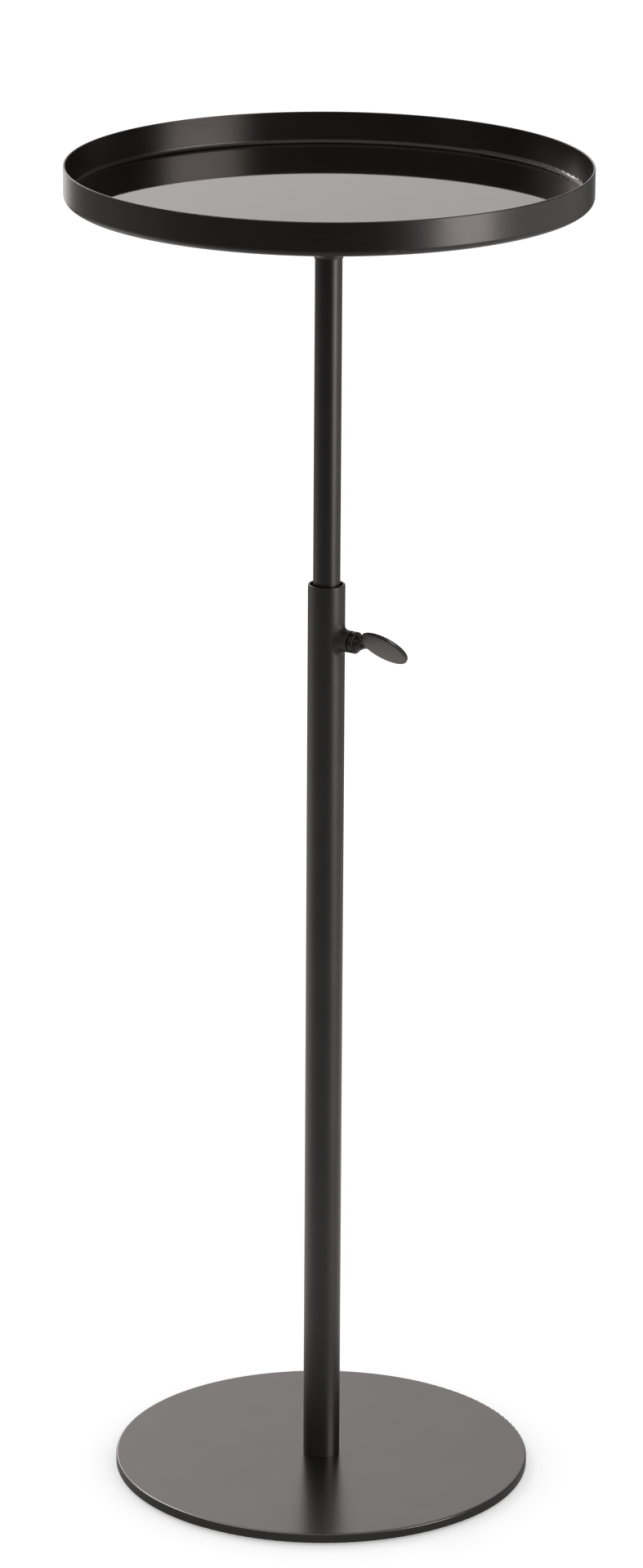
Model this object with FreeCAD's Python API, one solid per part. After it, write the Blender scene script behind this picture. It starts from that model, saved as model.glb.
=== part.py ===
import FreeCAD, Part
import math
import os

# Wine table: a round tray on a telescopic column, clamped by a thumb screw, over a flat disc base.
# Lengths are in millimetres and angles in degrees. The origin is on the floor under the middle of
# the base, +Z is up, and +X is the clamp screw's axis, pointing out of the column.
# The column stands as photographed: part raised, with the clamp screw tight.

# Driving sizes of the whole table
base_diameter = 250.0
base_thickness = 6.0
inner_tube_diameter = 16.0
inner_tube_wall = 1.2
column_gap = 1.8
outer_tube_wall = 1.2
outer_tube_length = 549.0
column_extension = 229.2
column_overlap = 171.0
tray_diameter = 305.0
tray_height = 20.0
tray_sheet = 1.2

# Clearances and working allowances
press_clearance = 0.05
running_clearance = 0.08
thread_clearance = 0.06
end_play = 0.2
grip_gap = 0.15
overrun = 5.0
join_tolerance = 0.001

# Base: steel disc, felt pads and the screw that holds the column
base_top_round = 1.2
base_bottom_round = 0.8
floor_pad_diameter = 22.0
floor_pad_thickness = 1.5
floor_pad_round = 0.4
floor_pad_inset = 20.0
floor_pad_count = 6
base_screw_diameter = 8.0
base_screw_length = 24.0
base_screw_head_diameter = 15.5
base_screw_head_land = 0.4
base_screw_recess = 0.3
base_screw_key_width = 5.0
base_screw_key_depth = 2.4
foot_insert_length = 28.0
foot_insert_chamfer = 1.0
screw_tip_chamfer = 0.8

# Outer tube and the nylon bush under its mouth
mouth_outer_round = 0.5
mouth_inner_round = 0.3
upper_bush_recess = 3.0
upper_bush_length = 18.0
bush_chamfer = 0.5

# Clamp: threaded boss on the outer tube, stud, brass grip pad and oval paddle
clamp_drop = 32.5
clamp_thread_diameter = 6.0
boss_wall = 3.5
boss_length = 6.9
boss_root_fillet = 4.0
boss_end_round = 0.7
grip_pad_margin = 0.1
grip_pad_thickness = 1.6
grip_pad_round = 0.2
grip_stem_diameter = 2.4
grip_stem_length = 3.0
collar_gap = 0.5
collar_thickness = 3.6
collar_round = 0.9
neck_root_wall = 2.3
neck_length = 5.3
neck_waist_reach = 2.6
neck_waist_width = 9.2
neck_waist_thickness = 6.2
neck_tip_width = 9.6
neck_tip_thickness = 2.9
paddle_width = 36.4
paddle_length = 26.9
paddle_thickness = 2.9
paddle_crown = 0.45
paddle_edge_round = 0.75
paddle_blend_reach = 4.0
paddle_blend_width = 14.0
paddle_blend_share = 0.9
paddle_angle = -41.0
stud_engagement = 4.4

# Lower end of the inner tube: sliding bush, retaining ring and end plug
lower_bush_length = 24.0
ring_thickness = 1.2
ring_groove_depth = 0.4
ring_radial_width = 1.4
ring_opening = 5.0
end_plug_flange_thickness = 2.5
end_plug_lip = 1.1
end_plug_length = 16.0
end_plug_chamfer = 1.5

# Tray: spun sheet pan on a cast hub, held by weld studs and nuts
tray_corner_round = 2.6
tray_rim_round = 0.45
hub_flange_diameter = 76.0
hub_flange_thickness = 4.0
hub_flange_round = 0.9
hub_height = 34.3
hub_socket_wall = 3.0
hub_socket_round = 0.6
hub_lip_wall = 0.45
hub_lip_length = 2.4
hub_lip_fillet = 1.9
hub_fillet = 4.0
hub_web = 2.0
hub_screw_diameter = 5.0
hub_screw_drop = 18.0
hub_screw_key_width = 2.5
hub_screw_key_depth = 1.4
stud_circle_diameter = 56.0
stud_count = 4
stud_diameter = 4.0
stud_foot_diameter = 5.4
stud_foot_thickness = 0.8
stud_hole_clearance = 0.3
stud_tail = 1.6
washer_diameter = 9.0
washer_thickness = 0.8
nut_width = 7.0
nut_height = 3.2

# Heights and radii that follow from the sizes above
base_screw_head = floor_pad_thickness + base_screw_recess
base_top = floor_pad_thickness + base_thickness
mouth = base_top + outer_tube_length
tray_underside = mouth + column_extension
tray_rim = tray_underside + tray_height
inner_tube_foot = mouth - column_overlap
inner_tube_top = tray_underside - hub_web
clamp_height = mouth - clamp_drop
inner_tube_radius = inner_tube_diameter / 2
inner_bore_radius = inner_tube_radius - inner_tube_wall
outer_bore_radius = inner_tube_radius + column_gap
outer_tube_radius = outer_bore_radius + outer_tube_wall
clamp_bore_radius = clamp_thread_diameter / 2 + thread_clearance
boss_radius = clamp_thread_diameter / 2 + boss_wall
neck_root_diameter = clamp_thread_diameter + 2 * neck_root_wall
grip_face = inner_tube_radius + grip_gap
stud_tip = grip_face + grip_pad_thickness + press_clearance
boss_end = outer_tube_radius + boss_length
collar_start = boss_end + collar_gap
collar_end = collar_start + collar_thickness
stud_end = collar_start + stud_engagement
paddle_start = collar_end + neck_length
paddle_centre = paddle_start + paddle_length / 2
ring_floor = inner_tube_foot + lower_bush_length + 2 * end_play
ring_groove_radius = inner_tube_radius - ring_groove_depth
hub_socket_radius = inner_tube_radius + hub_socket_wall
hub_lip_radius = inner_tube_radius + hub_lip_wall
washer_top = tray_underside - hub_flange_thickness
nut_top = washer_top - washer_thickness

ORIGIN = FreeCAD.Vector(0, 0, 0)
X_AXIS = FreeCAD.Vector(1, 0, 0)
Y_AXIS = FreeCAD.Vector(0, 1, 0)
Z_AXIS = FreeCAD.Vector(0, 0, 1)
FULL_TURN = 360.0
HEX_SIDES = 6


def rounded_wire(corners):
    """Close an outline of (point, radius) corners, with a tangent arc at each rounded corner."""
    ends = []
    for index, (point, radius) in enumerate(corners):
        if not radius:
            ends.append((point, None, point))
            continue
        before = (corners[index - 1][0] - point).normalize()
        after = (corners[(index + 1) % len(corners)][0] - point).normalize()
        half_angle = before.getAngle(after) / 2
        reach = radius / math.tan(half_angle)
        inward = (before + after).normalize()
        middle = point + inward * (radius / math.sin(half_angle) - radius)
        ends.append((point + before * reach, middle, point + after * reach))
    edges = []
    for index, (start, middle, end) in enumerate(ends):
        if middle:
            edges.append(Part.Arc(start, middle, end).toShape())
        following = ends[(index + 1) % len(ends)][0]
        if end.distanceToPoint(following) > join_tolerance:
            edges.append(Part.LineSegment(end, following).toShape())
    return Part.Wire(edges)


def turned(*corners):
    """Turn an outline of (radius, height, corner round) about the column's axis."""
    points = [(FreeCAD.Vector(radius, 0, height), rounding) for radius, height, rounding in corners]
    return Part.Face(rounded_wire(points)).revolve(ORIGIN, Z_AXIS, FULL_TURN)


def turned_on_clamp(*corners):
    """Turn an outline of (distance out, radius, corner round) about the clamp screw's axis."""
    lift = FreeCAD.Vector(0, 0, clamp_height)
    points = [(FreeCAD.Vector(out, 0, radius) + lift, rounding) for out, radius, rounding in corners]
    return Part.Face(rounded_wire(points)).revolve(lift, X_AXIS, FULL_TURN)


def upright_rod(radius, low, high):
    """Make a plain round rod on the column's axis."""
    return Part.makeCylinder(radius, high - low, FreeCAD.Vector(0, 0, low))


def hexagon(across_flats, low, high):
    """Make a hexagonal prism about the column's axis."""
    corner = across_flats / 2 / math.cos(math.pi / HEX_SIDES)
    turns = [2 * math.pi * index / HEX_SIDES for index in range(HEX_SIDES + 1)]
    points = [FreeCAD.Vector(corner * math.cos(a), corner * math.sin(a), low) for a in turns]
    face = Part.Face(Part.makePolygon(points))
    return face.extrude(FreeCAD.Vector(0, 0, high - low))


def around_column(shape, radius, count):
    """Copy a shape round the column, evenly spaced on a circle."""
    copies = []
    for index in range(count):
        copy = shape.copy()
        copy.translate(FreeCAD.Vector(radius, 0, 0))
        copy.rotate(ORIGIN, Z_AXIS, FULL_TURN * (index + 1 / 2) / count)
        copies.append(copy)
    return Part.makeCompound(copies)


def countersunk_form(clearance, low):
    """Turn the base screw's outside, grown by a clearance, from a level at or under its head."""
    shank = base_screw_diameter / 2 + clearance
    head = base_screw_head_diameter / 2 + clearance
    land_top = base_screw_head + base_screw_head_land
    cone_top = land_top + head - shank
    tip = base_screw_head + base_screw_length
    return turned((0, low, 0), (head, low, 0), (head, land_top, 0), (shank, cone_top, 0),
                  (shank, tip - screw_tip_chamfer, 0), (shank - screw_tip_chamfer, tip, 0), (0, tip, 0))


def base_plate():
    radius = base_diameter / 2
    plate = turned(
        (0, floor_pad_thickness, 0),
        (radius, floor_pad_thickness, base_bottom_round),
        (radius, base_top, base_top_round),
        (0, base_top, 0),
    )
    return plate.cut(countersunk_form(running_clearance, base_screw_head - overrun))


def floor_pads():
    radius = floor_pad_diameter / 2
    pad = turned((0, 0, 0), (radius, 0, floor_pad_round), (radius, floor_pad_thickness, 0),
                 (0, floor_pad_thickness, 0))
    return around_column(pad, base_diameter / 2 - floor_pad_inset, floor_pad_count)


def base_screw():
    screw = countersunk_form(0, base_screw_head)
    key = hexagon(base_screw_key_width, base_screw_head - overrun, base_screw_head + base_screw_key_depth)
    return screw.cut(key)


def foot_insert():
    outer = outer_bore_radius - press_clearance
    bore = base_screw_diameter / 2 + thread_clearance
    top = base_top + foot_insert_length
    return turned((bore, base_top, 0), (outer, base_top, 0), (outer, top - foot_insert_chamfer, 0),
                  (outer - foot_insert_chamfer, top, 0), (bore, top, 0))


def outer_tube():
    tube = turned((outer_bore_radius, base_top, 0), (outer_tube_radius, base_top, 0),
                  (outer_tube_radius, mouth, mouth_outer_round),
                  (outer_bore_radius, mouth, mouth_inner_round))
    start = FreeCAD.Vector(0, 0, clamp_height)
    return tube.cut(Part.makeCylinder(clamp_bore_radius, outer_tube_radius + overrun, start, X_AXIS))


def upper_bush():
    outer = outer_bore_radius - press_clearance
    bore = inner_tube_radius + running_clearance
    top = mouth - upper_bush_recess
    low = top - upper_bush_length
    return turned((bore + bush_chamfer, low, 0), (outer, low, 0), (outer, top, 0),
                  (bore + bush_chamfer, top, 0), (bore, top - bush_chamfer, 0), (bore, low + bush_chamfer, 0))


def screw_boss():
    """Threaded boss, saddle-cut to the outer tube, with a filleted weld at its root."""
    barrel = turned_on_clamp((0, 0, 0), (0, boss_radius, 0), (boss_end, boss_radius, boss_end_round),
                             (boss_end, 0, 0))
    reach = 2 * boss_radius + boss_root_fillet
    column = upright_rod(outer_tube_radius + press_clearance, clamp_height - reach, clamp_height + reach)
    # The rod's seam line is turned away from the boss, so that one whole edge runs round the root.
    column.rotate(ORIGIN, Z_AXIS, FULL_TURN / 2)
    joined = barrel.fuse(column)
    root = [edge for edge in joined.Edges if isinstance(edge.Curve, Part.BSplineCurve)]
    boss = joined.makeFillet(boss_root_fillet, root).cut(column)
    bore_end = boss_end + overrun
    bore = turned_on_clamp((0, 0, 0), (0, clamp_bore_radius, 0), (bore_end, clamp_bore_radius, 0),
                           (bore_end, 0, 0))
    return boss.cut(bore)


def grip_pad():
    """Brass pad that bears on the inner tube and turns freely in the end of the stud."""
    radius = clamp_thread_diameter / 2 - grip_pad_margin
    stem = grip_stem_diameter / 2
    back = grip_face + grip_pad_thickness
    stem_end = back + grip_stem_length
    return turned_on_clamp((grip_face, 0, 0), (grip_face, radius, grip_pad_round), (back, radius, 0),
                           (back, stem, 0), (stem_end, stem, 0), (stem_end, 0, 0))


def clamp_stud():
    radius = clamp_thread_diameter / 2
    stem_hole = grip_stem_diameter / 2 + running_clearance
    stem_floor = stud_tip + grip_stem_length + end_play
    return turned_on_clamp((stud_tip, stem_hole, 0), (stud_tip, radius - grip_pad_round, 0),
                           (stud_tip + grip_pad_round, radius, 0),
                           (stud_end - screw_tip_chamfer, radius, 0),
                           (stud_end, radius - screw_tip_chamfer, 0), (stud_end, 0, 0),
                           (stem_floor, 0, 0), (stem_floor, stem_hole, 0))


def oval_section(out, width, thickness):
    """Make an oval wire across the clamp axis, wide along Y and thin along Z."""
    centre = FreeCAD.Vector(out, 0, 0)
    side = FreeCAD.Vector(out, width / 2, 0)
    top = FreeCAD.Vector(out, 0, thickness / 2)
    return Part.Wire(Part.Ellipse(side, top, centre).toShape())


def oval_plate():
    """Make the oval plate that finger and thumb turn, with crowned faces and rounded edges."""
    centre = FreeCAD.Vector(paddle_centre, 0, 0)
    side = FreeCAD.Vector(paddle_centre, paddle_width / 2, 0)
    tip = FreeCAD.Vector(paddle_centre + paddle_length / 2, 0, 0)
    face = Part.Face(Part.Wire(Part.Ellipse(side, tip, centre).toShape()))
    face.translate(FreeCAD.Vector(0, 0, -paddle_thickness / 2))
    plate = face.extrude(FreeCAD.Vector(0, 0, paddle_thickness))
    crown_radius = (paddle_width ** 2 / 4 + paddle_crown ** 2) / (2 * paddle_crown)
    sink = FreeCAD.Vector(0, 0, crown_radius - paddle_thickness / 2)
    # The sphere's pole and seam line are tipped clear of the plate, so each face is in one piece.
    upper_crown = Part.makeSphere(crown_radius, centre - sink)
    upper_crown.rotate(centre - sink, Y_AXIS, FULL_TURN / 12)
    lower_crown = upper_crown.copy()
    lower_crown.rotate(centre, X_AXIS, FULL_TURN / 2)
    plate = plate.common(upper_crown).common(lower_crown)
    rims = [edge for edge in plate.Edges if edge.Length > paddle_width]
    return plate.makeFillet(paddle_edge_round, rims)


def thumb_paddle():
    """Cast paddle: a round collar, a neck that spreads into the oval plate, and the stud's socket."""
    blend_end = paddle_start + paddle_blend_reach
    neck = Part.makeLoft([
        oval_section(collar_end - collar_thickness / 2, neck_root_diameter, neck_root_diameter),
        oval_section(collar_end, neck_root_diameter, neck_root_diameter),
        oval_section(collar_end + neck_waist_reach, neck_waist_width, neck_waist_thickness),
        oval_section(paddle_start, neck_tip_width, neck_tip_thickness),
        oval_section(blend_end, paddle_blend_width, paddle_thickness * paddle_blend_share),
    ], True)
    blade = neck.fuse(oval_plate())
    blade.rotate(ORIGIN, X_AXIS, paddle_angle)
    blade.translate(FreeCAD.Vector(0, 0, clamp_height))
    collar = turned_on_clamp((collar_start, 0, 0), (collar_start, boss_radius, collar_round),
                             (collar_end, boss_radius, collar_round), (collar_end, 0, 0))
    socket_radius = clamp_thread_diameter / 2 + press_clearance
    socket_start = collar_start - overrun
    socket = turned_on_clamp((socket_start, 0, 0), (socket_start, socket_radius, 0),
                             (stud_end, socket_radius, 0), (stud_end, 0, 0))
    return blade.fuse(collar).cut(socket)


def lower_bush():
    outer = outer_bore_radius - running_clearance
    bore = inner_tube_radius + running_clearance
    low = inner_tube_foot + end_play
    top = low + lower_bush_length
    return turned((bore, low, 0), (outer - bush_chamfer, low, 0), (outer, low + bush_chamfer, 0),
                  (outer, top - bush_chamfer, 0), (outer - bush_chamfer, top, 0), (bore, top, 0))


def retaining_ring():
    """Open spring ring in the inner tube's groove, which holds the lower bush down."""
    inner = ring_groove_radius + press_clearance
    outer = inner + ring_radial_width
    low = ring_floor + press_clearance
    top = ring_floor + ring_thickness - press_clearance
    ring = turned((inner, low, 0), (outer, low, 0), (outer, top, 0), (inner, top, 0))
    opening = Part.makeBox(outer + overrun, ring_opening, ring_thickness + 2 * overrun,
                           FreeCAD.Vector(0, -ring_opening / 2, low - overrun))
    return ring.cut(opening)


def end_plug():
    stem = inner_bore_radius - press_clearance
    flange = inner_tube_radius + end_plug_lip
    low = inner_tube_foot - end_plug_flange_thickness
    top = inner_tube_foot + end_plug_length
    return turned((0, low, 0), (flange, low, bush_chamfer), (flange, inner_tube_foot, 0),
                  (stem, inner_tube_foot, 0), (stem, top - end_plug_chamfer, 0),
                  (stem - end_plug_chamfer, top, 0), (0, top, 0))


def inner_tube():
    tube = turned((inner_bore_radius, inner_tube_foot, 0), (inner_tube_radius, inner_tube_foot, 0),
                  (inner_tube_radius, inner_tube_top, mouth_inner_round),
                  (inner_bore_radius, inner_tube_top, 0))
    ring_top = ring_floor + ring_thickness
    groove = turned((ring_groove_radius, ring_floor, 0), (inner_tube_radius + overrun, ring_floor, 0),
                    (inner_tube_radius + overrun, ring_top, 0), (ring_groove_radius, ring_top, 0))
    return tube.cut(groove)


def tray_pan():
    """Spun sheet pan of one thickness: flat floor, rounded corner and upright rim."""
    outer = tray_diameter / 2
    inner = outer - tray_sheet
    floor = tray_underside + tray_sheet
    return turned((0, tray_underside, 0), (outer, tray_underside, tray_corner_round + tray_sheet),
                  (outer, tray_rim, tray_rim_round), (inner, tray_rim, tray_rim_round),
                  (inner, floor, tray_corner_round), (0, floor, 0))


def hub_screw_axis():
    return FreeCAD.Vector(0, 0, tray_underside - hub_screw_drop)


def tray_hub():
    """Cast hub: a flange under the tray, a blind socket for the inner tube and a coved lip round it."""
    bore = inner_tube_radius + press_clearance
    flange = hub_flange_diameter / 2
    low = tray_underside - hub_height
    shoulder = low + hub_lip_length
    hub = turned((0, tray_underside, 0), (flange, tray_underside, 0),
                 (flange, washer_top, hub_flange_round), (hub_socket_radius, washer_top, hub_fillet),
                 (hub_socket_radius, shoulder, hub_socket_round),
                 (hub_lip_radius, shoulder, hub_lip_fillet), (hub_lip_radius, low, 0),
                 (bore, low, 0), (bore, inner_tube_top, 0), (0, inner_tube_top, 0))
    hole_radius = stud_foot_diameter / 2 + stud_hole_clearance
    hole = upright_rod(hole_radius, washer_top - overrun, tray_underside + overrun)
    hub = hub.cut(around_column(hole, stud_circle_diameter / 2, stud_count))
    tapped_radius = hub_screw_diameter / 2 + thread_clearance
    reach = hub_socket_radius + overrun
    return hub.cut(Part.makeCylinder(tapped_radius, reach, hub_screw_axis(), -X_AXIS))


def hub_screw():
    """Grub screw that locks the hub on the inner tube, with a hexagon socket in its outer end."""
    length = hub_socket_wall - 2 * press_clearance
    start = hub_screw_axis() - X_AXIS * (inner_tube_radius + press_clearance)
    grub = Part.makeCylinder(hub_screw_diameter / 2, length, start, -X_AXIS)
    key = hexagon(hub_screw_key_width, 0, hub_screw_key_depth + overrun)
    key.rotate(ORIGIN, Y_AXIS, -FULL_TURN / 4)
    key.translate(start - X_AXIS * (length - hub_screw_key_depth))
    return grub.cut(key)


def tray_studs():
    radius = stud_diameter / 2
    foot = stud_foot_diameter / 2
    foot_low = tray_underside - stud_foot_thickness
    low = nut_top - nut_height - stud_tail
    stud = turned((0, tray_underside, 0), (foot, tray_underside, 0), (foot, foot_low, 0),
                  (radius, foot_low, 0), (radius, low, 0), (0, low, 0))
    return around_column(stud, stud_circle_diameter / 2, stud_count)


def stud_washers():
    bore = stud_diameter / 2 + thread_clearance
    outer = washer_diameter / 2
    washer = turned((bore, nut_top, 0), (outer, nut_top, 0), (outer, washer_top, 0), (bore, washer_top, 0))
    return around_column(washer, stud_circle_diameter / 2, stud_count)


def stud_nuts():
    low = nut_top - nut_height
    bore = upright_rod(stud_diameter / 2 + thread_clearance, low - overrun, nut_top + overrun)
    nut = hexagon(nut_width, low, nut_top).cut(bore)
    return around_column(nut, stud_circle_diameter / 2, stud_count)


PIECES = (
    base_plate, floor_pads, base_screw, foot_insert, outer_tube, upper_bush, screw_boss,
    grip_pad, clamp_stud, thumb_paddle, lower_bush, retaining_ring, end_plug, inner_tube,
    tray_hub, hub_screw, tray_studs, stud_washers, stud_nuts, tray_pan,
)

os.makedirs("parts", exist_ok=True)
for piece in PIECES:
    shape = piece()
    shape.exportStep("parts/" + piece.__name__ + ".step")
    count = len(shape.Solids)
    print(piece.__name__, count, "solids, valid", shape.isValid(), "volume", round(shape.Volume, 1))
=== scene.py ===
import math
import bmesh
import bpy
from mathutils import Matrix, Vector


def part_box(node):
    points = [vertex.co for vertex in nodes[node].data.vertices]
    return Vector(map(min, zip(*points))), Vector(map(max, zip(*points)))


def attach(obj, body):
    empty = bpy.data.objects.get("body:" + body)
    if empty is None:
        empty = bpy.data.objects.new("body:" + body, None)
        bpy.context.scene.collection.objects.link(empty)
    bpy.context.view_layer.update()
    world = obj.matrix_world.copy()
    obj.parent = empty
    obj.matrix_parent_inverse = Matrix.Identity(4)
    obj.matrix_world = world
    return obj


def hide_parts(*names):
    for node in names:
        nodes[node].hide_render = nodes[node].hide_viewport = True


# Looks of the wine table: dark satin metal, a polished tray floor, and a white studio.
# Lengths are in metres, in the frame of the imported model.

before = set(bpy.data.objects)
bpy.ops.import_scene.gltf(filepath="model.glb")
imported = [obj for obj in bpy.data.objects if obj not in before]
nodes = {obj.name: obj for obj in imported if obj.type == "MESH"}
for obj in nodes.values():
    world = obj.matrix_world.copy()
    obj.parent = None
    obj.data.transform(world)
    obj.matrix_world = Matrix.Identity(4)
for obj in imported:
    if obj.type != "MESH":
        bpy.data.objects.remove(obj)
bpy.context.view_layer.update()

# Camera, solved from the tray's rim and the disc base in the photograph
PHOTO_HEIGHT_PIXELS = 1920
FOCAL_PIXELS = 7784.0
SENSOR_MM = 36.0
CAMERA_AZIMUTH = math.radians(34.0)
CAMERA_PITCH = math.radians(17.532)
CAMERA_ROLL = math.radians(0.35)
CAMERA_DISTANCE = 3.5785
CAMERA_HEIGHT = 1.5642
CAMERA_SIDE = -0.0023

# Directions of the studio, as seen from the camera
RIGHT = Vector((math.cos(CAMERA_AZIMUTH), math.sin(CAMERA_AZIMUTH), 0))
AWAY = Vector((-math.sin(CAMERA_AZIMUTH), math.cos(CAMERA_AZIMUTH), 0))
UP = Vector((0, 0, 1))

# World: its light on the floor, the white that the camera sees, and the studio that the metal mirrors,
# with a white backdrop behind the table and a dim room behind the camera. Starts, ends and edges are
# how far a direction points away, up or right.
AMBIENT = 0.66
WHITE = 1.0
DIM_ROOM = 0.09
ROOM_TOP_START = 0.15
ROOM_TOP_END = 0.4
ROOM_TOP_LEVEL = 0.3
ROOM_BEHIND_START = -0.1
ROOM_BEHIND_END = 0.25
BACKDROP_START = 0.0
BACKDROP_END = 0.45
BACKDROP_TOP_START = 0.46
BACKDROP_TOP_END = 0.7
BACKDROP_TOP_LEVEL = 0.6
BACKDROP_FAR_LEFT_START = -0.65
BACKDROP_FAR_LEFT_END = -0.3
BACKDROP_FAR_LEFT_LEVEL = 0.28
BACKDROP_LEFT_EDGE = -0.2
BACKDROP_LEFT_LEVEL = 1.45
BACKDROP_RIGHT_EDGE = 0.43
BACKDROP_RIGHT_LEVEL = 0.05

# Soft boxes: place (right of, beyond and above the origin), the point faced, width, height, radiance
RIGHT_BOX = ((2.6, -1.5, 1.3), (0, 0, 0.85), 2.0, 0.9, 3.2)
RIGHT_LOW_BOX = ((2.6, -1.5, 0.47), (0, 0, 0.47), 1.35, 0.75, 2.9)
LEFT_BOX = ((-0.79, 1.13, 1.22), (-0.78, 1.116, 0.22), 0.32, 0.75, 4.5)

# Floor of white paper, and the light of its own that the camera sees near the table and farther out
FLOOR_RADIUS = 60.0
FLOOR_SIDES = 128
FLOOR_ALBEDO = 0.8
PAPER_SPREAD = 0.01
# Painted shade: the camera sees less of the floor's own light close round the base
LIFT_NEAR = 0.435
LIFT_FAR = 0.55
LIFT_START = 0.13
LIFT_END = 0.2

# Floor as the metal mirrors it, a glow painted on it: painted shade beside the base, a painted pool of
# light beyond the table, a painted lit right side and a far sweep
SHADE_START = 0.13
SHADE_END = 0.26
SHADE_LEVEL = 0.4
POOL_STRETCH = 0.45
POOL_SIDE = -0.4
POOL_AWAY = 0.5
POOL_NEAR = 0.3
POOL_FAR = 0.8
POOL_LEVEL = 0.86
POOL_EDGE = 0.36
POOL_FALL = -0.95
POOL_END_START = 3.2
POOL_END = 4.4
POOL_END_LEVEL = 0.5
RIGHT_LEVEL = 0.54
RIGHT_START = 0.28
RIGHT_END = 1.0
RIGHT_NEAR = 0.15
RIGHT_FAR = 0.4
RIGHT_FOOT_LEVEL = 1.15
RIGHT_FOOT_START = 0.5
RIGHT_FOOT_END = 1.3
RIGHT_DIP = 0.8
RIGHT_DIP_START = 1.8
RIGHT_DIP_END = 3.0
SWEEP_START = 2.2
SWEEP_END = 3.0

# Two tones of each material, which drift into each other across a surface
NICKEL_LOW = (0.115, 0.106, 0.1, 1)
NICKEL_HIGH = (0.122, 0.113, 0.107, 1)
# Painted light: a lighter copy of the nickel for the base, standing in for light on its top
BASE_LIT_LOW = (0.141, 0.13, 0.126, 1)
BASE_LIT_HIGH = (0.147, 0.136, 0.132, 1)
# Painted shade: a darker copy of the nickel for the paddle, so its face mirrors less of the lit floor
PADDLE_SHADED_LOW = (0.076, 0.074, 0.07, 1)
PADDLE_SHADED_HIGH = (0.082, 0.08, 0.076, 1)
OXIDE_LOW = (0.13, 0.126, 0.12, 1)
OXIDE_HIGH = (0.19, 0.184, 0.178, 1)
STEEL_LOW = (0.45, 0.44, 0.42, 1)
STEEL_HIGH = (0.55, 0.54, 0.52, 1)
BRASS_LOW = (0.66, 0.47, 0.21, 1)
BRASS_HIGH = (0.78, 0.57, 0.27, 1)
NYLON_LOW = (0.032, 0.032, 0.034, 1)
NYLON_HIGH = (0.048, 0.048, 0.05, 1)
FELT_LOW = (0.04, 0.039, 0.038, 1)
FELT_HIGH = (0.085, 0.082, 0.079, 1)

# Tints of the plating where it is seen at a flat angle
EDGE_TINT = (1.0, 0.975, 0.968, 1)
# Painted shade: the paddle's darker copy of the edge tint
PADDLE_SHADED_TINT = (0.77, 0.76, 0.73, 1)

# Noise in the finishes: the parts of its range over which tone and roughness change, its scales and
# detail, the depth of the metal's relief, and the spread of the small hardware's roughness
TONE_RANGE = (0.3, 0.7)
GRAIN_RANGE = (0.25, 0.75)
BRUSH_TURNS = 6.0
BRUSH_RISE = 900.0
PLATING_SCALE = 38.0
HARDWARE_SCALE = 300.0
PAPER_SCALE = 260.0
MOTTLE_DETAIL = 4.0
METAL_RELIEF = 0.0002
HARDWARE_SPREAD = 0.06

# Tray sizes that its finish follows, and the polish of its floor and rounded corner
TRAY_SHEET = 0.0012
TRAY_CORNER = 0.0026
CORNER_EDGE_SHARE = 0.3
CORNER_FADE_SHARE = 0.6
CORNER_POLISH = 0.65
POLISHED_ROUGHNESS = 0.03
POLISHED_HEIGHT = 0.5

# Rounding of the base's upper edge, whose true normals its finish uses, and a painted highlight on it:
# a lighter, glossier band between two upward slopes of the normal with a fade beyond each
BASE_EDGE_ROUND = 0.0012
HIGHLIGHT_BAND_LOW = 0.7
HIGHLIGHT_BAND_HIGH = 0.94
HIGHLIGHT_BAND_FADE = 0.05
PAINTED_HIGHLIGHT_TONE = (0.36, 0.34, 0.335, 1)
HIGHLIGHT_BAND_ROUGHNESS = 0.2

# Threaded rods and nuts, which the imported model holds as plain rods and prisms
ROD_SIDES = 48
STEPS_A_PITCH = 10
THREAD_FLAT_SHARE = 0.1
CLAMP_PITCH = 0.001
CLAMP_THREAD_DEPTH = 0.0006
GRIP_HOLE_RADIUS = 0.00128
GRIP_HOLE_DEPTH = 0.0032
STUD_PITCH = 0.0007
STUD_THREAD_DEPTH = 0.00042
STUD_RADIUS = 0.002
STUD_FOOT_RADIUS = 0.0027
STUD_FOOT_HEIGHT = 0.0008
STUD_CIRCLE_RADIUS = 0.028
STUD_COUNT = 4
NUT_WIDTH = 0.007
NUT_BORE_RADIUS = 0.00206
NUT_FACE_RADIUS = 0.0033
NUT_SLOPE = 0.577
NUT_LEAD = 0.0003
SHARP_ANGLE = math.radians(35)


def studio_point(side, away, height):
    """Give a place in the frame from its distances right of, beyond and above the origin."""
    return RIGHT * side + AWAY * away + UP * height


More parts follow.
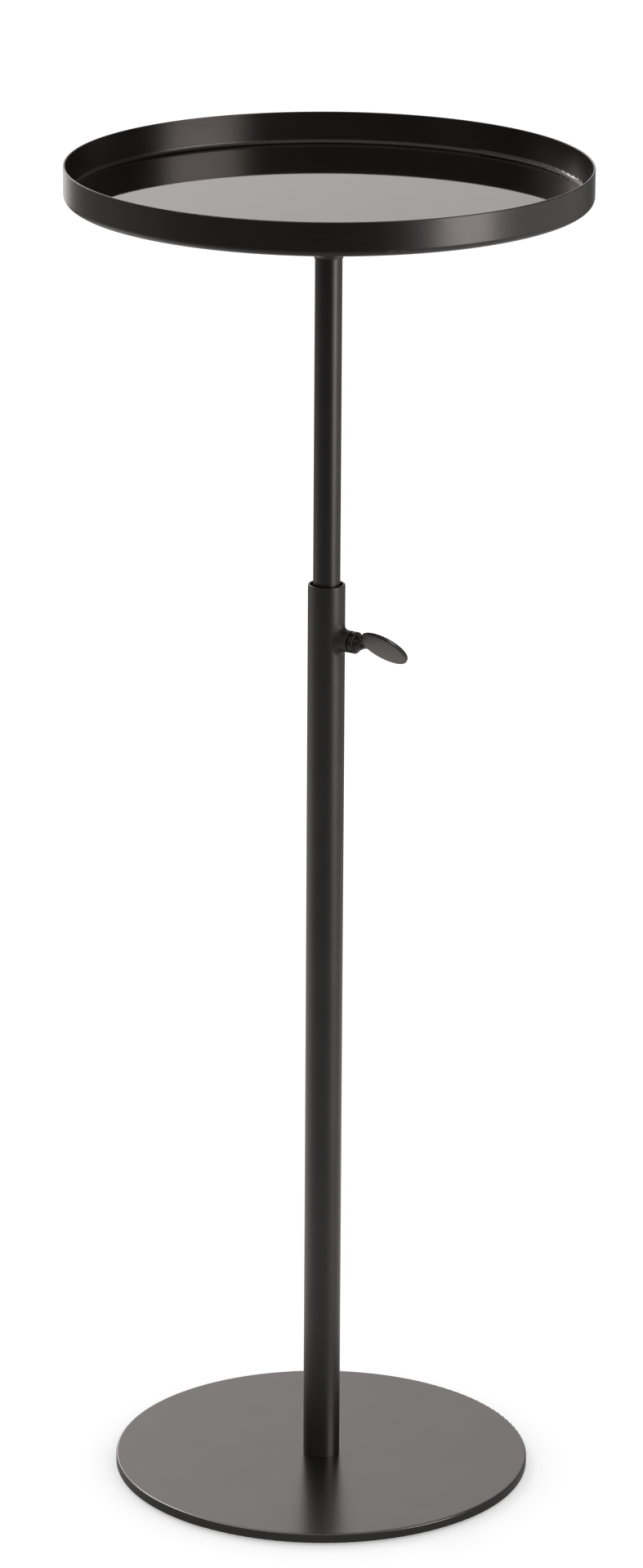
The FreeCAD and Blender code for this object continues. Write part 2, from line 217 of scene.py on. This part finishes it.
class Nodes:
    """A node tree with short calls to add nodes and link them."""

    def __init__(self, tree):
        self.tree = tree
        tree.nodes.clear()

    def add(self, kind, inputs=None, **settings):
        node = self.tree.nodes.new(kind)
        for name, value in settings.items():
            setattr(node, name, value)
        for key, value in (inputs or {}).items():
            self.feed(node, key, value)
        return node

    def feed(self, node, key, value):
        if isinstance(value, bpy.types.NodeSocket):
            self.tree.links.new(value, node.inputs[key])
        else:
            node.inputs[key].default_value = value

    def math(self, operation, first, second=0.0):
        node = self.add("ShaderNodeMath", {0: first, 1: second}, operation=operation)
        return node.outputs[0]

    def product(self, first, *others):
        """Multiply numbers."""
        for other in others:
            first = self.math("MULTIPLY", first, other)
        return first

    def mix(self, factor, first, second):
        """Blend two numbers."""
        node = self.add("ShaderNodeMix", {0: factor, 2: first, 3: second}, data_type="FLOAT")
        return node.outputs[0]

    def mix_colour(self, factor, first, second):
        node = self.add("ShaderNodeMix", {0: factor, 6: first, 7: second}, data_type="RGBA")
        return node.outputs[2]

    def mix_vector(self, factor, first, second):
        node = self.add("ShaderNodeMix", {0: factor, 4: first, 5: second}, data_type="VECTOR")
        return node.outputs[1]

    def ramp(self, value, low, high, to_low=0.0, to_high=1.0, smooth=True):
        """Map a number from one range to another, and hold it at both ends."""
        kind = "SMOOTHSTEP" if smooth else "LINEAR"
        node = self.add("ShaderNodeMapRange", {0: value, 1: low, 2: high, 3: to_low, 4: to_high},
                        interpolation_type=kind)
        return node.outputs[0]

    def noise(self, vector, scale, detail=3.0, roughness=0.5):
        node = self.add("ShaderNodeTexNoise", {"Vector": vector, "Scale": scale, "Detail": detail,
                                               "Roughness": roughness})
        return node.outputs["Fac"]

    def vector_math(self, operation, first, second=None):
        """Work on vectors. The second value is a number where the operation scales a vector."""
        inputs = {0: first}
        if second is not None:
            inputs["Scale" if operation == "SCALE" else 1] = second
        return self.add("ShaderNodeVectorMath", inputs, operation=operation).outputs[0]

    def dot(self, vector, direction):
        node = self.add("ShaderNodeVectorMath", {0: vector, 1: direction}, operation="DOT_PRODUCT")
        return node.outputs["Value"]

    def length(self, vector):
        node = self.add("ShaderNodeVectorMath", {0: vector}, operation="LENGTH")
        return node.outputs["Value"]

    def own_coordinates(self):
        """Coordinates of the object that carries the material."""
        return self.add("ShaderNodeTexCoord").outputs["Object"]


def round_column(node, turns, rise):
    """Coordinates that run round the column, so that a texture drawn on them is brushed round it."""
    coordinates = node.own_coordinates()
    x, y, z = node.add("ShaderNodeSeparateXYZ", {0: coordinates}).outputs
    angle = node.math("ARCTAN2", y, x)
    radius = node.math("SQRT", node.math("ADD", node.product(x, x), node.product(y, y)))
    vector = node.add("ShaderNodeCombineXYZ", {0: node.product(angle, turns), 1: node.product(z, rise),
                                               2: node.product(radius, rise)}).outputs[0]
    return coordinates, vector, radius, z


def edge_reach(node, coordinates, edge_radius, edge_height):
    """Direction from the circle that a rounded upper edge is centred on, and whether the edge is there."""
    across = node.vector_math("MULTIPLY", coordinates, (1, 1, 0))
    outward = node.vector_math("NORMALIZE", across)
    centre = node.vector_math("SCALE", outward, edge_radius)
    centre = node.vector_math("ADD", centre, (0, 0, edge_height))
    reach = node.vector_math("SUBTRACT", coordinates, centre)
    beyond = node.math("GREATER_THAN", node.dot(reach, outward), 0.0)
    above = node.math("GREATER_THAN", node.dot(reach, UP), 0.0)
    return node.vector_math("NORMALIZE", reach), node.product(beyond, above)


def painted_highlight_band(node, coordinates, edge):
    """Mark the band of a rounded upper edge that carries a painted highlight, by the slope of its normal."""
    direction, on_edge = edge_reach(node, coordinates, *edge)
    slope = node.dot(direction, UP)
    lower = node.ramp(slope, HIGHLIGHT_BAND_LOW - HIGHLIGHT_BAND_FADE, HIGHLIGHT_BAND_LOW)
    upper = node.ramp(slope, HIGHLIGHT_BAND_HIGH, HIGHLIGHT_BAND_HIGH + HIGHLIGHT_BAND_FADE, 1.0, 0.0)
    return node.product(on_edge, lower, upper)


def spun_normal(node, coordinates, edge=None):
    """Normal of a part turned about Z, without the sideways straying of its mesh's narrow triangles.
    An edge is the radius and height of the circle that a rounded upper edge is centred on."""
    normal = node.add("ShaderNodeTexCoord").outputs["Normal"]
    around = node.vector_math("NORMALIZE", node.vector_math("CROSS_PRODUCT", UP, coordinates))
    sideways = node.vector_math("SCALE", around, node.dot(normal, around))
    normal = node.vector_math("SUBTRACT", normal, sideways)
    if edge:
        direction, on_edge = edge_reach(node, coordinates, *edge)
        normal = node.mix_vector(on_edge, normal, direction)
    return node.add("ShaderNodeVectorTransform", {0: normal}, vector_type="NORMAL", convert_from="OBJECT",
                    convert_to="WORLD").outputs[0]


def new_material(name):
    material = bpy.data.materials.new(name)
    material.use_nodes = True
    node = Nodes(material.node_tree)
    return material, node


def finish_material(node, shader):
    node.add("ShaderNodeOutputMaterial", {"Surface": shader.outputs[0]})


def brushed_metal(name, roughness, spread, relief, polished=None):
    """Dark nickel, brushed round the column. The polished function gives a mask of mirror finish."""
    material, node = new_material(name)
    coordinates, around, radius, z = round_column(node, BRUSH_TURNS, BRUSH_RISE)
    brush = node.noise(around, scale=1.0, detail=5.0, roughness=0.62)
    mottle = node.noise(coordinates, PLATING_SCALE, MOTTLE_DETAIL)
    colour = node.mix_colour(node.ramp(mottle, *TONE_RANGE), NICKEL_LOW, NICKEL_HIGH)
    satin = node.ramp(brush, *GRAIN_RANGE, roughness - spread, roughness + spread)
    height = brush
    if polished:
        mask = polished(node, radius, z)
        satin = node.mix(mask, satin, POLISHED_ROUGHNESS)
        height = node.mix(mask, brush, POLISHED_HEIGHT)
    bump = node.add("ShaderNodeBump", {"Strength": relief, "Distance": METAL_RELIEF, "Height": height,
                                       "Normal": spun_normal(node, coordinates)})
    tangent = node.add("ShaderNodeTangent", direction_type="RADIAL", axis="Z")
    shader = node.add("ShaderNodeBsdfPrincipled", {
        "Base Color": colour, "Metallic": 1.0, "Roughness": satin, "Specular Tint": EDGE_TINT,
        "Anisotropic": 0.3, "Anisotropic Rotation": 0.25, "Normal": bump.outputs[0],
        "Tangent": tangent.outputs[0]})
    finish_material(node, shader)
    return material


def satin_metal(name, roughness, spread, grain_scale, low=NICKEL_LOW, high=NICKEL_HIGH, tint=EDGE_TINT,
                edge=None):
    """Dark nickel with an even, fine-grained satin finish. An edge is that of a part turned about Z, and
    carries a painted highlight band.
    """
    material, node = new_material(name)
    coordinates = node.own_coordinates()
    mottle = node.noise(coordinates, PLATING_SCALE, MOTTLE_DETAIL)
    grain = node.noise(coordinates, grain_scale, detail=3.0, roughness=0.6)
    colour = node.mix_colour(node.ramp(mottle, *TONE_RANGE), low, high)
    satin = node.ramp(grain, *GRAIN_RANGE, roughness - spread, roughness + spread)
    bump = node.add("ShaderNodeBump", {"Strength": 0.02, "Distance": METAL_RELIEF, "Height": grain})
    if edge:
        node.feed(bump, "Normal", spun_normal(node, coordinates, edge))
        # Painted highlight: a lighter, glossier band along the rounded upper edge
        painted_highlight = painted_highlight_band(node, coordinates, edge)
        colour = node.mix_colour(painted_highlight, colour, PAINTED_HIGHLIGHT_TONE)
        satin = node.mix(painted_highlight, satin, HIGHLIGHT_BAND_ROUGHNESS)
    shader = node.add("ShaderNodeBsdfPrincipled", {
        "Base Color": colour, "Metallic": 1.0, "Roughness": satin, "Specular Tint": tint,
        "Normal": bump.outputs[0]})
    finish_material(node, shader)
    return material


def tray_floor_mask(node, radius, z):
    """Mark the tray's polished floor and the rounded corner round it, on the upper face of the sheet."""
    low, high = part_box("tray_pan")
    middle_of_wall = high.x - TRAY_SHEET / 2
    middle_of_sheet = low.z + TRAY_SHEET / 2
    corner_top = low.z + TRAY_SHEET + TRAY_CORNER
    corner_fade = TRAY_CORNER * CORNER_FADE_SHARE
    inside = node.math("LESS_THAN", radius, middle_of_wall - TRAY_CORNER * CORNER_EDGE_SHARE)
    flat = node.math("LESS_THAN", radius, middle_of_wall - TRAY_CORNER)
    upper = node.math("GREATER_THAN", z, middle_of_sheet)
    corner = node.product(inside, node.ramp(z, corner_top - corner_fade, corner_top, CORNER_POLISH, 0.0))
    return node.product(node.math("MAXIMUM", flat, corner), upper)


def plain_metal(name, low, high, roughness):
    """Small hardware, with a little variation in tone and gloss."""
    material, node = new_material(name)
    mottle = node.noise(node.own_coordinates(), HARDWARE_SCALE, MOTTLE_DETAIL)
    colour = node.mix_colour(node.ramp(mottle, *TONE_RANGE), low, high)
    gloss = node.ramp(mottle, *TONE_RANGE, roughness + HARDWARE_SPREAD, roughness - HARDWARE_SPREAD)
    shader = node.add("ShaderNodeBsdfPrincipled", {"Base Color": colour, "Metallic": 1.0, "Roughness": gloss})
    finish_material(node, shader)
    return material


def moulded_nylon(name):
    material, node = new_material(name)
    grain = node.noise(node.own_coordinates(), scale=2500.0, detail=3.0)
    colour = node.mix_colour(grain, NYLON_LOW, NYLON_HIGH)
    bump = node.add("ShaderNodeBump", {"Strength": 0.2, "Distance": 0.0001, "Height": grain})
    shader = node.add("ShaderNodeBsdfPrincipled", {
        "Base Color": colour, "Roughness": 0.55, "Normal": bump.outputs[0]})
    finish_material(node, shader)
    return material


def pressed_felt(name):
    material, node = new_material(name)
    fibre = node.noise(node.own_coordinates(), scale=1600.0, detail=6.0, roughness=0.7)
    colour = node.mix_colour(fibre, FELT_LOW, FELT_HIGH)
    bump = node.add("ShaderNodeBump", {"Strength": 0.8, "Distance": 0.0004, "Height": fibre})
    shader = node.add("ShaderNodeBsdfPrincipled", {
        "Base Color": colour, "Roughness": 0.95, "Normal": bump.outputs[0]})
    finish_material(node, shader)
    return material


def clothe(material, *names):
    """Give these nodes one material."""
    for name in names:
        slots = nodes[name].data.materials
        slots.clear()
        slots.append(material)


def clothe_plated_pieces():
    """Tray, hub, column, base and clamp, in dark nickel; the base's copy is painted lighter, the paddle's
    darker.
    """
    tray = brushed_metal("tray_dark_nickel", roughness=0.29, spread=0.015, relief=0.006,
                         polished=tray_floor_mask)
    clothe(tray, "tray_pan")
    clothe(brushed_metal("inner_tube_dark_nickel", roughness=0.34, spread=0.02, relief=0.01), "inner_tube")
    clothe(brushed_metal("outer_tube_dark_nickel", roughness=0.37, spread=0.02, relief=0.01), "outer_tube")
    base_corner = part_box("base_plate")[1]
    base_edge = (base_corner.x - BASE_EDGE_ROUND, base_corner.z - BASE_EDGE_ROUND)
    # Painted light: the base gets a lighter copy of the nickel
    base = satin_metal("base_lit_dark_nickel", roughness=0.25, spread=0.02, grain_scale=900.0, low=BASE_LIT_LOW,
                       high=BASE_LIT_HIGH, edge=base_edge)
    clothe(base, "base_plate")
    clothe(satin_metal("boss_dark_nickel", roughness=0.58, spread=0.03, grain_scale=1200.0), "screw_boss")
    # Painted shade: the paddle gets a darker copy of the nickel
    paddle = satin_metal("paddle_shaded_dark_nickel", roughness=0.33, spread=0.03, grain_scale=1200.0,
                         low=PADDLE_SHADED_LOW, high=PADDLE_SHADED_HIGH, tint=PADDLE_SHADED_TINT)
    clothe(paddle, "thumb_paddle")
    clothe(satin_metal("cast_dark_nickel", roughness=0.33, spread=0.03, grain_scale=1200.0), "tray_hub")


def clothe_small_pieces(black_steel):
    """Fasteners, inserts, bushes and pads."""
    clothe(black_steel, "base_screw", "hub_screw", "stud_washers")
    turned_steel = plain_metal("turned_steel", STEEL_LOW, STEEL_HIGH, roughness=0.3)
    clothe(turned_steel, "foot_insert", "retaining_ring")
    clothe(plain_metal("turned_brass", BRASS_LOW, BRASS_HIGH, roughness=0.28), "grip_pad")
    clothe(moulded_nylon("black_nylon"), "upper_bush", "lower_bush", "end_plug")
    clothe(pressed_felt("black_felt"), "floor_pads")


def ring(height, radius, pitch=0.0, depth=0.0):
    """Points round the local Z axis, sunk by a right-hand thread's groove where a pitch is given."""
    points = []
    for index in range(ROD_SIDES):
        share = index / ROD_SIDES
        sunk = 0.0
        if pitch:
            ridge = abs(2 * ((height / pitch - share) % 1) - 1)
            flank = (ridge - THREAD_FLAT_SHARE) / (1 - 2 * THREAD_FLAT_SHARE)
            sunk = depth * min(max(flank, 0.0), 1.0)
        angle = 2 * math.pi * share
        out = radius - sunk
        points.append(Vector((out * math.cos(angle), out * math.sin(angle), height)))
    return points


def thread_rings(low, high, radius, pitch, depth):
    """Rings of a threaded stretch of rod."""
    count = round((high - low) / pitch * STEPS_A_PITCH)
    return [ring(low + (high - low) * step / count, radius, pitch, depth) for step in range(count + 1)]


def skin(mesh, rings, spot, looped):
    """Join a stack of rings into a closed surface, by end faces or by looping back to the first ring."""
    rows = [[mesh.verts.new(spot @ point) for point in points] for points in rings]
    if looped:
        rows.append(rows[0])
    else:
        mesh.faces.new(rows[0])
        mesh.faces.new(rows[-1])
    for lower, upper in zip(rows, rows[1:]):
        for index in range(ROD_SIDES):
            after = (index + 1) % ROD_SIDES
            mesh.faces.new((lower[index], lower[after], upper[after], upper[index]))


def fastener(name, body, material, spots, rings, looped=False):
    """Make copies of one turned or threaded form, in place of the node of this name."""
    mesh = bmesh.new()
    for spot in spots:
        skin(mesh, rings, spot, looped)
    bmesh.ops.recalc_face_normals(mesh, faces=mesh.faces)
    data = bpy.data.meshes.new(name + "_detail")
    mesh.to_mesh(data)
    mesh.free()
    for face in data.polygons:
        face.use_smooth = True
    data.set_sharp_from_angle(angle=SHARP_ANGLE)
    data.materials.append(material)
    piece = bpy.data.objects.new(name + "_detail", data)
    bpy.context.scene.collection.objects.link(piece)
    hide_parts(name)
    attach(piece, body)


def make_clamp_stud(material):
    """Threaded stud along X, with the grip pad's hole in its inner end."""
    low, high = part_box("clamp_stud")
    radius = (high.z - low.z) / 2
    axis_height = (high.z + low.z) / 2
    tip, end = low.x, high.x
    core = radius - CLAMP_THREAD_DEPTH
    rings = [ring(tip + GRIP_HOLE_DEPTH, GRIP_HOLE_RADIUS), ring(tip, GRIP_HOLE_RADIUS), ring(tip, core)]
    rings += thread_rings(tip + CLAMP_THREAD_DEPTH, end - CLAMP_THREAD_DEPTH, radius, CLAMP_PITCH,
                          CLAMP_THREAD_DEPTH)
    rings.append(ring(end, core))
    along_x = Matrix(((0, 0, 1, 0), (1, 0, 0, 0), (0, 1, 0, axis_height), (0, 0, 0, 1)))
    fastener("clamp_stud", "clamp", material, [along_x], rings)


def stud_spots():
    """Places of the tray's studs, evenly spaced on a circle."""
    turns = [2 * math.pi * (index + 0.5) / STUD_COUNT for index in range(STUD_COUNT)]
    return [Matrix.Rotation(turn, 4, "Z") @ Matrix.Translation((STUD_CIRCLE_RADIUS, 0, 0)) for turn in turns]


def make_tray_studs(material):
    """Weld studs under the tray: a threaded shank and a wider foot."""
    low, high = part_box("tray_studs")
    foot = high.z - STUD_FOOT_HEIGHT
    core = STUD_RADIUS - STUD_THREAD_DEPTH
    rings = [ring(low.z, core)]
    rings += thread_rings(low.z + STUD_THREAD_DEPTH, foot - STUD_THREAD_DEPTH, STUD_RADIUS, STUD_PITCH,
                          STUD_THREAD_DEPTH)
    rings += [ring(foot, core), ring(foot, STUD_FOOT_RADIUS), ring(high.z, STUD_FOOT_RADIUS)]
    fastener("tray_studs", "top", material, stud_spots(), rings)


def hexagon_ring(height, away_from_face):
    """Points on a nut's flats, each as far from the face as the corner's chamfer leaves it there."""
    points = []
    sixth = math.pi / 3
    for index in range(ROD_SIDES):
        angle = 2 * math.pi * index / ROD_SIDES
        out = NUT_WIDTH / 2 / math.cos((angle % sixth) - sixth / 2)
        lift = (out - NUT_FACE_RADIUS) * NUT_SLOPE * away_from_face
        points.append(Vector((out * math.cos(angle), out * math.sin(angle), height + lift)))
    return points


def make_stud_nuts(material):
    """Hexagon nuts with chamfered corners and a lead-in at both ends of the bore."""
    low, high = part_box("stud_nuts")
    lead = NUT_BORE_RADIUS + NUT_LEAD
    rings = [ring(low.z + NUT_LEAD, NUT_BORE_RADIUS), ring(low.z, lead), ring(low.z, NUT_FACE_RADIUS),
             hexagon_ring(low.z, 1), hexagon_ring(high.z, -1), ring(high.z, NUT_FACE_RADIUS),
             ring(high.z, lead), ring(high.z - NUT_LEAD, NUT_BORE_RADIUS)]
    fastener("stud_nuts", "top", material, stud_spots(), rings, looped=True)


def make_camera():
    """Camera at the photograph's place, turned a little about its own axis."""
    forward = AWAY * math.cos(CAMERA_PITCH) - UP * math.sin(CAMERA_PITCH)
    level_up = RIGHT.cross(forward)
    right = RIGHT * math.cos(CAMERA_ROLL) + level_up * math.sin(CAMERA_ROLL)
    up = level_up * math.cos(CAMERA_ROLL) - RIGHT * math.sin(CAMERA_ROLL)
    data = bpy.data.cameras.new("camera")
    data.sensor_width = SENSOR_MM
    data.lens = FOCAL_PIXELS / PHOTO_HEIGHT_PIXELS * SENSOR_MM
    camera = bpy.data.objects.new("camera", data)
    turn = Matrix((right, up, -forward)).transposed()
    spot = studio_point(CAMERA_SIDE, -CAMERA_DISTANCE, CAMERA_HEIGHT)
    camera.matrix_world = Matrix.Translation(spot) @ turn.to_4x4()
    bpy.context.scene.collection.objects.link(camera)
    bpy.context.scene.camera = camera


def make_soft_box(name, lights_floor, spot, faced, width, height, radiance):
    """A soft box that faces a point, and lights the floor or only shows in the metal."""
    data = bpy.data.lights.new(name, "AREA")
    data.shape = "RECTANGLE"
    data.size = width
    data.size_y = height
    data.energy = radiance * math.pi * width * height
    light = bpy.data.objects.new(name, data)
    light.location = studio_point(*spot)
    aim = studio_point(*faced) - light.location
    light.rotation_euler = aim.to_track_quat("-Z", "Y").to_euler()
    light.visible_camera = False
    light.visible_diffuse = lights_floor
    bpy.context.scene.collection.objects.link(light)


def ray_kinds(node):
    """Whether a ray comes from a reflection or through glass, and whether it comes from the camera."""
    path = node.add("ShaderNodeLightPath").outputs
    return node.math("MAXIMUM", path["Is Glossy Ray"], path["Is Transmission Ray"]), path["Is Camera Ray"]


def side_fall(node, rightward):
    """Level of the backdrop, which falls from left to right and ends on the far left."""
    fall = node.ramp(rightward, BACKDROP_LEFT_EDGE, BACKDROP_RIGHT_EDGE, BACKDROP_LEFT_LEVEL,
                     BACKDROP_RIGHT_LEVEL, smooth=False)
    end = node.ramp(rightward, BACKDROP_FAR_LEFT_START, BACKDROP_FAR_LEFT_END, BACKDROP_FAR_LEFT_LEVEL, WHITE)
    return node.product(fall, end)


def make_world():
    """White backdrop behind the table, a dim room elsewhere, and white wherever the camera sees it."""
    world = bpy.data.worlds.new("studio")
    bpy.context.scene.world = world
    world.use_nodes = True
    node = Nodes(world.node_tree)
    direction = node.add("ShaderNodeTexCoord").outputs["Generated"]
    away = node.dot(direction, AWAY)
    upward = node.dot(direction, UP)
    across = side_fall(node, node.dot(direction, RIGHT))
    top = node.ramp(upward, BACKDROP_TOP_START, BACKDROP_TOP_END, WHITE, BACKDROP_TOP_LEVEL)
    backdrop = node.product(node.ramp(away, BACKDROP_START, BACKDROP_END), top, across)
    behind = node.ramp(away, ROOM_BEHIND_START, ROOM_BEHIND_END, ROOM_TOP_LEVEL, DIM_ROOM)
    dim = node.mix(node.ramp(upward, ROOM_TOP_START, ROOM_TOP_END), DIM_ROOM, behind)
    room = node.math("ADD", node.product(backdrop, WHITE - DIM_ROOM), dim)
    mirrored, seen = ray_kinds(node)
    strength = node.mix(seen, node.mix(mirrored, AMBIENT, room), WHITE)
    background = node.add("ShaderNodeBackground", {"Color": (1, 1, 1, 1), "Strength": strength})
    node.add("ShaderNodeOutputWorld", {"Surface": background.outputs[0]})


def floor_pool(node, side, away):
    """Painted pool of light beyond the table, which fades outwards and has a far end."""
    pool_side = node.product(node.math("SUBTRACT", side, POOL_SIDE), POOL_STRETCH)
    pool_away = node.math("SUBTRACT", away, POOL_AWAY)
    spot = node.add("ShaderNodeCombineXYZ", {0: pool_side, 1: pool_away}).outputs[0]
    distance = node.length(spot)
    near = node.ramp(distance, POOL_NEAR, POOL_FAR, POOL_LEVEL, POOL_EDGE)
    reach = node.math("MAXIMUM", node.math("DIVIDE", distance, POOL_FAR), 1.0)
    fall = node.math("POWER", reach, POOL_FALL)
    end = node.ramp(distance, POOL_END_START, POOL_END, WHITE, POOL_END_LEVEL)
    return node.product(near, fall, end)


def floor_right(node, rightward, length):
    """Painted light on the right side of the floor, which starts beside the base, dims outwards and is full
    far out.
    """
    right = node.ramp(rightward, RIGHT_START, RIGHT_END, 0.0, RIGHT_LEVEL)
    near = node.ramp(length, RIGHT_NEAR, RIGHT_FAR)
    foot = node.ramp(length, RIGHT_FOOT_START, RIGHT_FOOT_END, RIGHT_FOOT_LEVEL, WHITE)
    dip = node.ramp(length, RIGHT_DIP_START, RIGHT_DIP_END, RIGHT_DIP, WHITE)
    return node.product(right, near, foot, dip)


def floor_glow(node, coordinates, length):
    """Level of the floor's painted glow as the metal mirrors it, with painted shade beside the base."""
    side = node.dot(coordinates, RIGHT)
    away = node.dot(coordinates, AWAY)
    rightward = node.math("DIVIDE", side, length)
    sweep = node.product(node.ramp(away, SWEEP_START, SWEEP_END), side_fall(node, rightward))
    glow = node.math("MAXIMUM", floor_pool(node, side, away), floor_right(node, rightward, length))
    shade = node.ramp(length, SHADE_START, SHADE_END, SHADE_LEVEL, WHITE)
    return node.product(node.math("MAXIMUM", glow, sweep), shade)


def make_floor():
    """White paper: white to the camera with the table's shadow on it, and painted light and shade where the
    metal mirrors it.
    """
    bpy.ops.mesh.primitive_circle_add(vertices=FLOOR_SIDES, radius=FLOOR_RADIUS, fill_type="NGON")
    floor = bpy.context.object
    floor.name = "floor"
    material, node = new_material("white_paper")
    coordinates = node.own_coordinates()
    length = node.length(coordinates)
    paper_low = (FLOOR_ALBEDO * (1 - PAPER_SPREAD),) * 3 + (1,)
    paper_high = (FLOOR_ALBEDO * (1 + PAPER_SPREAD),) * 3 + (1,)
    mottle = node.noise(coordinates, PAPER_SCALE, MOTTLE_DETAIL)
    colour = node.mix_colour(mottle, paper_low, paper_high)
    mirrored, seen = ray_kinds(node)
    # Painted shade: the floor's own light is weaker close round the base
    lift_level = node.ramp(length, LIFT_START, LIFT_END, LIFT_NEAR, LIFT_FAR, smooth=False)
    paper = node.add("ShaderNodeBsdfDiffuse", {"Color": colour})
    lift = node.add("ShaderNodeEmission", {"Strength": node.product(seen, lift_level)})
    direct = node.add("ShaderNodeAddShader", {0: paper.outputs[0], 1: lift.outputs[0]})
    # Painted light and shade, seen only in the metal's reflections
    reflected = node.add("ShaderNodeEmission", {"Strength": floor_glow(node, coordinates, length)})
    shader = node.add("ShaderNodeMixShader", {0: mirrored, 1: direct.outputs[0], 2: reflected.outputs[0]})
    finish_material(node, shader)
    floor.data.materials.append(material)


black_steel = plain_metal("black_oxide_steel", OXIDE_LOW, OXIDE_HIGH, roughness=0.38)
clothe_plated_pieces()
clothe_small_pieces(black_steel)
make_clamp_stud(black_steel)
make_tray_studs(black_steel)
make_stud_nuts(black_steel)
make_camera()
make_soft_box("right_soft_box", False, *RIGHT_BOX)
make_soft_box("right_low_soft_box", False, *RIGHT_LOW_BOX)
make_soft_box("left_soft_box", True, *LEFT_BOX)
make_world()
make_floor()
bpy.context.scene.view_settings.view_transform = "Standard"
